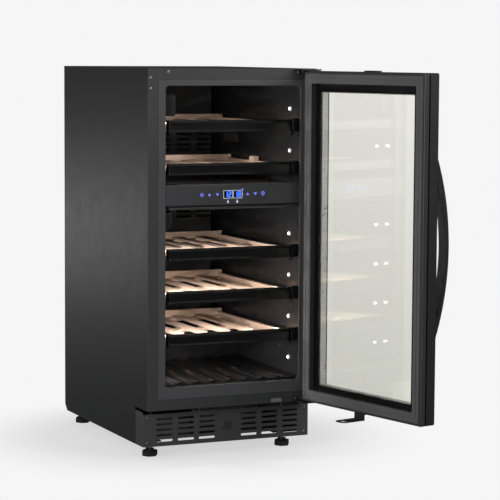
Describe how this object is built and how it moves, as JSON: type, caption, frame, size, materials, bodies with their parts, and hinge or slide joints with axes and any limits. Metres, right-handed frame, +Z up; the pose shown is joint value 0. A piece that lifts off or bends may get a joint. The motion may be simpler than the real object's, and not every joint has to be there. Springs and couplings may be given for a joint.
{
  "type": "wine cooler",
  "caption": "Black undercounter wine cooler with an open glass door, curved handle, sliding wooden racks, touch controls and a slotted kickplate.",
  "frame": {"origin": "centre of the cabinet's footprint on the floor, between the four feet", "axes": "+X to the right of a person facing the open front, +Y to the back, +Z up"},
  "size_m": [0.5079, 0.9067, 0.812],
  "materials": {
    "charcoal_paint": "satin",
    "black_paint": "satin",
    "kick_paint": "satin",
    "liner_plastic": "satin",
    "foam": "matte",
    "galvanised_steel": "satin",
    "gloss_divider": "gloss",
    "panel_plastic": "gloss",
    "display_window": "gloss",
    "trim_rubber": "satin",
    "cover_plastic": "satin",
    "fan_plastic": "satin",
    "fin_aluminium": "satin",
    "led_light": "gloss",
    "slide_steel": "satin",
    "tray_plastic": "gloss",
    "cartridge_plastic": "gloss",
    "base_steel": "satin",
    "lock_chrome": "polished",
    "compressor_paint": "gloss",
    "grommet_rubber": "matte",
    "white_plastic": "satin",
    "electronics_plastic": "satin",
    "pipe_paint": "satin",
    "gland_plastic": "satin",
    "hinge_steel": "satin",
    "screw_steel": "satin",
    "sensor_plastic": "satin",
    "door_outer_finish": "satin",
    "door_inner_plastic": "satin",
    "gasket_rubber": "satin",
    "clear_glass": "polished",
    "spacer_aluminium": "satin",
    "bush_plastic": "satin",
    "handle_finish": "satin",
    "hasp_steel": "satin",
    "foot_rubber": "matte",
    "beech_wood": "satin",
    "bar_plastic": "gloss"
  },
  "bodies": {
    "cabinet": {"front_frame": "charcoal_paint", "left_side_panel": "black_paint", "right_side_panel": "black_paint", "top_panel": "black_paint", "back_panel": "black_paint", "inner_liner": "liner_plastic", "insulation": "foam", "bottom_plate": "galvanised_steel", "zone_divider": "gloss_divider", "control_panel": "panel_plastic", "display_module": "display_window", "divider_trim_bar": "trim_rubber", "evaporator_covers": "cover_plastic", "fan_frames": "fan_plastic", "evaporators": "fin_aluminium", "led_lenses": "led_light", "shelf_slides": "slide_steel", "bottle_tray": "tray_plastic", "filter_cartridges": "cartridge_plastic", "sensor_cover": "cover_plastic", "base_pan": "base_steel", "kickplate": "kick_paint", "lock_barrel": "lock_chrome", "compressor": "compressor_paint", "compressor_grommets": "grommet_rubber", "condenser": "fin_aluminium", "drip_tray_and_drain": "white_plastic", "electronics_box": "electronics_plastic", "refrigerant_pipes": "pipe_paint", "cord_gland": "gland_plastic", "hinge_brackets": "hinge_steel", "cabinet_screws": "screw_steel", "door_sensor": "sensor_plastic"},
    "door": {"door_outer_frame": "door_outer_finish", "door_inner_frame": "door_inner_plastic", "gasket": "gasket_rubber", "glass_panes": "clear_glass", "spacer_bar": "spacer_aluminium", "hinge_bushes": "bush_plastic", "handle": "handle_finish", "handle_screws": "screw_steel", "lock_hasp": "hasp_steel"},
    "shelf_1": {"shelf_1_rack": "beech_wood", "shelf_1_bar_and_runners": "bar_plastic"},
    "shelf_2": {"shelf_2_rack": "beech_wood", "shelf_2_bar_and_runners": "bar_plastic"},
    "shelf_3": {"shelf_3_rack": "beech_wood", "shelf_3_bar_and_runners": "bar_plastic"},
    "shelf_4": {"shelf_4_rack": "beech_wood", "shelf_4_bar_and_runners": "bar_plastic"},
    "shelf_5": {"shelf_5_rack": "beech_wood", "shelf_5_bar_and_runners": "bar_plastic"},
    "upper_fan_rotor": {"upper_fan_rotor": "fan_plastic"},
    "lower_fan_rotor": {"lower_fan_rotor": "fan_plastic"},
    "condenser_fan_rotor": {"condenser_fan_rotor": "fan_plastic"},
    "lock_plug": {"lock_plug": "lock_chrome"},
    "front_left_foot": {"front_left_foot": "foot_rubber"},
    "rear_left_foot": {"rear_left_foot": "foot_rubber"},
    "front_right_foot": {"front_right_foot": "foot_rubber"},
    "rear_right_foot": {"rear_right_foot": "foot_rubber"}
  },
  "joints": [
    {"name": "door_hinge", "type": "hinge", "parent": "cabinet", "child": "door", "pos_m": [0.1762, -0.2839, 0.46], "axis": [0, 0, 1], "range_deg": [-102.4, 7.6]},
    {"name": "shelf_1_slide", "type": "slide", "parent": "cabinet", "child": "shelf_1", "axis": [0, -1, 0], "range_m": [0, 0.2]},
    {"name": "shelf_2_slide", "type": "slide", "parent": "cabinet", "child": "shelf_2", "axis": [0, -1, 0], "range_m": [0, 0.2]},
    {"name": "shelf_3_slide", "type": "slide", "parent": "cabinet", "child": "shelf_3", "axis": [0, -1, 0], "range_m": [0, 0.2]},
    {"name": "shelf_4_slide", "type": "slide", "parent": "cabinet", "child": "shelf_4", "axis": [0, -1, 0], "range_m": [0, 0.2]},
    {"name": "shelf_5_slide", "type": "slide", "parent": "cabinet", "child": "shelf_5", "axis": [0, -1, 0], "range_m": [0, 0.2]},
    {"name": "upper_fan_spin", "type": "hinge", "parent": "cabinet", "child": "upper_fan_rotor", "pos_m": [-0.085, 0.208, 0.715], "axis": [0, 1, 0], "continuous": true},
    {"name": "lower_fan_spin", "type": "hinge", "parent": "cabinet", "child": "lower_fan_rotor", "pos_m": [-0.085, 0.208, 0.42], "axis": [0, 1, 0], "continuous": true},
    {"name": "condenser_fan_spin", "type": "hinge", "parent": "cabinet", "child": "condenser_fan_rotor", "pos_m": [0.06, -0.014, 0.071], "axis": [0, 1, 0], "continuous": true},
    {"name": "lock_turn", "type": "hinge", "parent": "cabinet", "child": "lock_plug", "pos_m": [0, -0.229, 0.063], "axis": [0, -1, 0], "range_deg": [0, 90]},
    {"name": "front_left_foot_screw", "type": "hinge", "parent": "cabinet", "child": "front_left_foot", "pos_m": [-0.153, -0.177, 0.02], "axis": [0, 0, 1], "continuous": true},
    {"name": "rear_left_foot_screw", "type": "hinge", "parent": "cabinet", "child": "rear_left_foot", "pos_m": [-0.153, 0.242, 0.02], "axis": [0, 0, 1], "continuous": true},
    {"name": "front_right_foot_screw", "type": "hinge", "parent": "cabinet", "child": "front_right_foot", "pos_m": [0.153, -0.177, 0.02], "axis": [0, 0, 1], "continuous": true},
    {"name": "rear_right_foot_screw", "type": "hinge", "parent": "cabinet", "child": "rear_right_foot", "pos_m": [0.153, 0.242, 0.02], "axis": [0, 0, 1], "continuous": true}
  ]
}
